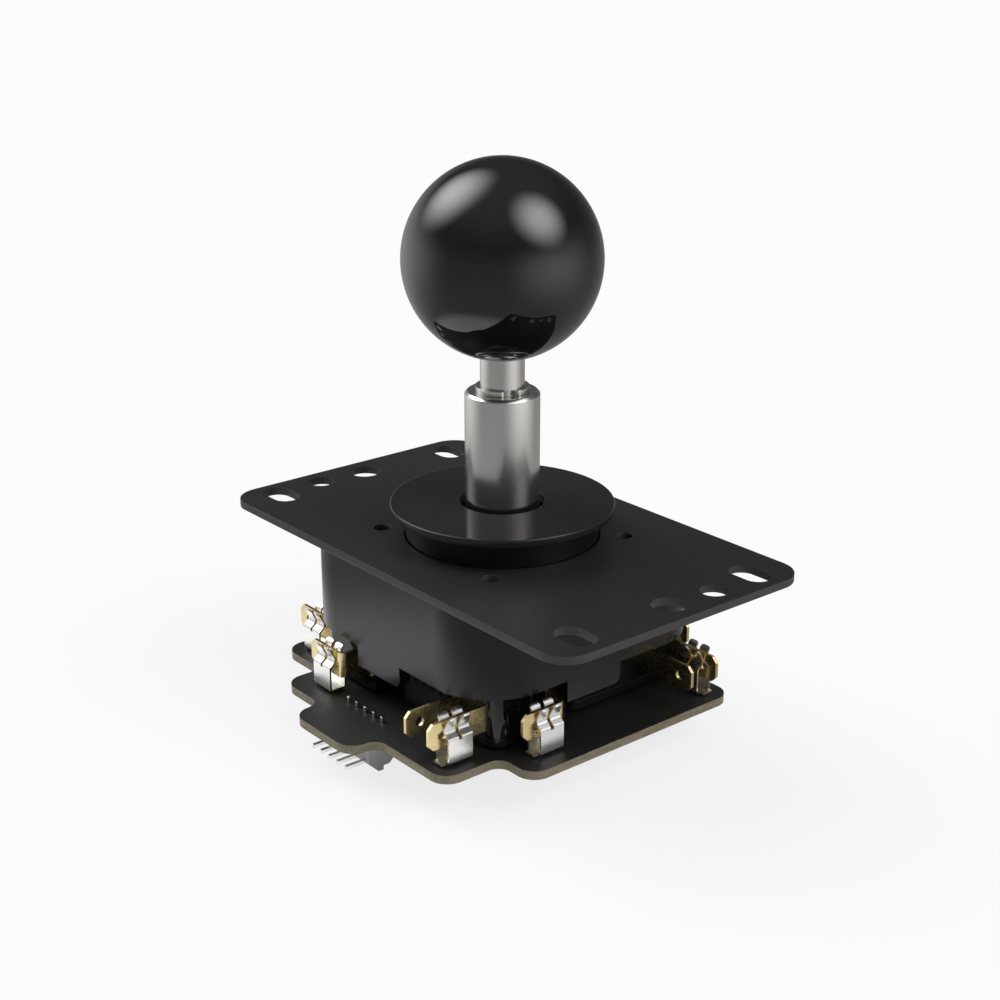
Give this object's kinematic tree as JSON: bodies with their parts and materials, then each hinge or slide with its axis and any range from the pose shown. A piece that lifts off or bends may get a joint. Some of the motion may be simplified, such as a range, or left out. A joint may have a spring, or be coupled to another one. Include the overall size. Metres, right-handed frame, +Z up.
{
  "type": "arcade joystick",
  "caption": "Arcade lever with a ball top, dust disc and flat mounting plate, over a housing of snap switches with a push-on circuit board.",
  "frame": {"origin": "on the lever's axis, at the top face of the mounting plate, which is the face that meets the panel", "axes": "+Z up along the lever at rest, +X along the plate's long side, the board's header points to -Y"},
  "size_m": [0.096, 0.074, 0.1036],
  "materials": {
    "plate": "fine textured matt black powder coat",
    "housing": "satin black moulded plastic",
    "screw": "black zinc plated",
    "disc": "mirror gloss black",
    "spring": "bright spring wire",
    "board": "black solder mask on khaki glass laminate",
    "header": "natural nylon",
    "pin": "tinned",
    "liner": "natural nylon",
    "pivot": "natural acetal",
    "cover": "satin turned steel",
    "actuator": "natural acetal",
    "shaft": "satin turned steel",
    "ball": "polished black",
    "insert": "turned",
    "ring": "spring steel",
    "switch": "gloss black phenolic",
    "switch_lid": "black phenolic",
    "blade": "rolled brass strip",
    "clip": "bright tin on phosphor bronze",
    "plunger": "red nylon"
  },
  "bodies": {
    "base": {"mounting_plate": "plate", "housing": "housing", "plate_screws": "screw", "dust_disc": "disc", "centring_spring": "spring", "switch_case_1": "switch", "switch_case_2": "switch", "switch_case_3": "switch", "switch_case_4": "switch", "switch_cover_1": "switch_lid", "switch_cover_2": "switch_lid", "switch_cover_3": "switch_lid", "switch_cover_4": "switch_lid", "common_terminal_1": "blade", "common_terminal_2": "blade", "common_terminal_3": "blade", "common_terminal_4": "blade", "open_terminal_1": "blade", "open_terminal_2": "blade", "open_terminal_3": "blade", "open_terminal_4": "blade", "closed_terminal_1": "blade", "closed_terminal_2": "blade", "closed_terminal_3": "blade", "closed_terminal_4": "blade", "common_clip_1": "clip", "common_clip_2": "clip", "common_clip_3": "clip", "common_clip_4": "clip", "open_clip_1": "clip", "open_clip_2": "clip", "open_clip_3": "clip", "open_clip_4": "clip", "circuit_board": "board", "header_body": "header", "header_pins": "pin"},
    "liner": {"pivot_liner": "liner"},
    "lever": {"pivot_ball": "pivot", "shaft_cover": "cover", "actuator": "actuator"},
    "grip": {"shaft": "shaft", "ball_top": "ball", "ball_insert": "insert", "upper_ring": "ring", "lower_ring": "ring"},
    "plunger_1": {"plunger_1": "plunger"},
    "plunger_2": {"plunger_2": "plunger"},
    "plunger_3": {"plunger_3": "plunger"},
    "plunger_4": {"plunger_4": "plunger"}
  },
  "joints": [
    {"name": "tilt_x", "type": "hinge", "parent": "base", "child": "liner", "pos_m": [0, 0, 0.001], "axis": [1, 0, 0], "range_deg": [-5, 5], "stiffness_Nm_per_rad": 1.2, "deforming": ["centring_spring"]},
    {"name": "tilt_y", "type": "hinge", "parent": "liner", "child": "lever", "pos_m": [0, 0, 0.001], "axis": [0, 1, 0], "range_deg": [-5, 5], "stiffness_Nm_per_rad": 1.2},
    {"name": "grip_spin", "type": "hinge", "parent": "lever", "child": "grip", "pos_m": [0, 0, 0.03], "axis": [0, 0, 1], "continuous": true},
    {"name": "plunger_1_slide", "type": "slide", "parent": "base", "child": "plunger_1", "axis": [0, -1, 0], "range_m": [-0.0012, 0.0012]},
    {"name": "plunger_2_slide", "type": "slide", "parent": "base", "child": "plunger_2", "axis": [1, 0, 0], "range_m": [-0.0012, 0.0012]},
    {"name": "plunger_3_slide", "type": "slide", "parent": "base", "child": "plunger_3", "axis": [0, 1, 0], "range_m": [-0.0012, 0.0012]},
    {"name": "plunger_4_slide", "type": "slide", "parent": "base", "child": "plunger_4", "axis": [-1, 0, 0], "range_m": [-0.0012, 0.0012]}
  ],
  "couplings": [
    {"joint": "plunger_1_slide", "follows": "tilt_x", "m_per_rad": -0.01374},
    {"joint": "plunger_2_slide", "follows": "tilt_y", "m_per_rad": -0.01374},
    {"joint": "plunger_3_slide", "follows": "tilt_x", "m_per_rad": 0.01374},
    {"joint": "plunger_4_slide", "follows": "tilt_y", "m_per_rad": 0.01374}
  ]
}
